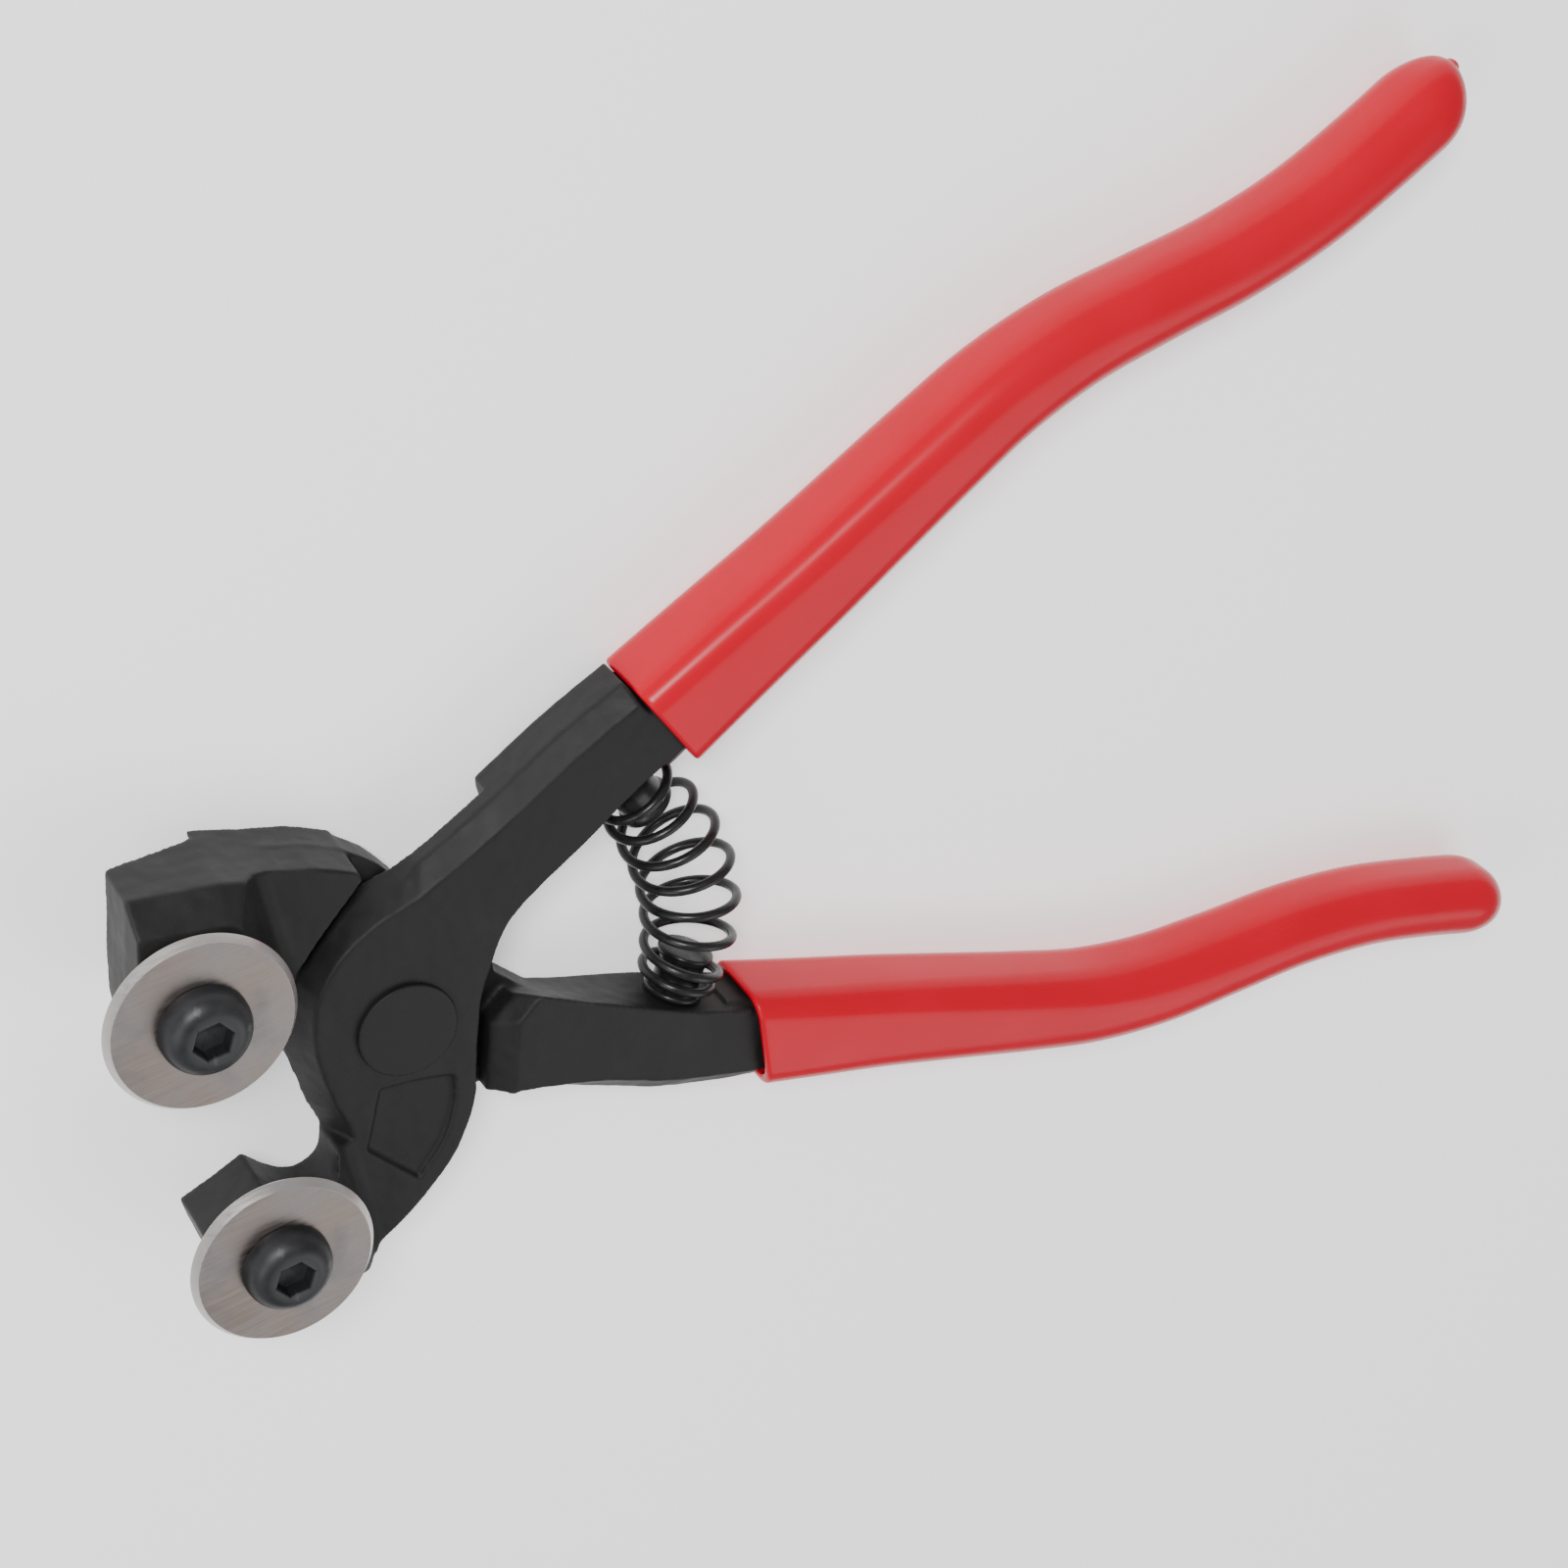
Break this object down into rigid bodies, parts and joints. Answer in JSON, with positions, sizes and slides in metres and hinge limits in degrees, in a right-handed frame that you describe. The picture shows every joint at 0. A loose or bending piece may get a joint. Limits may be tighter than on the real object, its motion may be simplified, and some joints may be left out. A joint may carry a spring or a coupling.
{
  "type": "mosaic glass nippers",
  "caption": "Spring-opened hand nippers with a round cutting wheel on each jaw and dipped grips, for nipping mosaic glass.",
  "frame": {"origin": "on the rivet's axis, in the flat back face of the rivet's rear head, which is the lowest metal of the head", "axes": "+Z along the pivot axis towards the wheels and screw heads, +X towards the handle ends, jaws towards -X, upper handle towards +Y"},
  "size_m": [0.1897, 0.1304, 0.0224],
  "materials": {
    "forged_steel": "black oxide, forged",
    "wheel_steel": "ground",
    "black_screw": "black oxide",
    "grip": "dipped gloss",
    "black_spring": "black, oiled"
  },
  "bodies": {
    "front_half": {"front_lever": "forged_steel", "pivot_rivet": "forged_steel", "upper_grip": "grip", "upper_spring_stud": "black_spring", "lower_wheel_screw": "black_screw", "return_spring": "black_spring"},
    "rear_half": {"rear_lever": "forged_steel", "lower_grip": "grip", "lower_spring_stud": "black_spring", "upper_wheel_screw": "black_screw"},
    "lower_wheel": {"lower_wheel": "wheel_steel"},
    "upper_wheel": {"upper_wheel": "wheel_steel"}
  },
  "joints": [
    {"name": "pivot", "type": "hinge", "parent": "front_half", "child": "rear_half", "pos_m": [0, 0, 0], "axis": [0, 0, 1], "range_deg": [0, 31], "stiffness_Nm_per_rad": 2, "springref_deg": -14.32, "deforming": ["return_spring"]},
    {"name": "lower_wheel_spin", "type": "hinge", "parent": "front_half", "child": "lower_wheel", "pos_m": [-0.02276, -0.01781, 0.01805], "axis": [0, 0, 1], "continuous": true},
    {"name": "upper_wheel_spin", "type": "hinge", "parent": "rear_half", "child": "upper_wheel", "pos_m": [-0.02276, 0.01781, 0.01805], "axis": [0, 0, 1], "continuous": true}
  ]
}
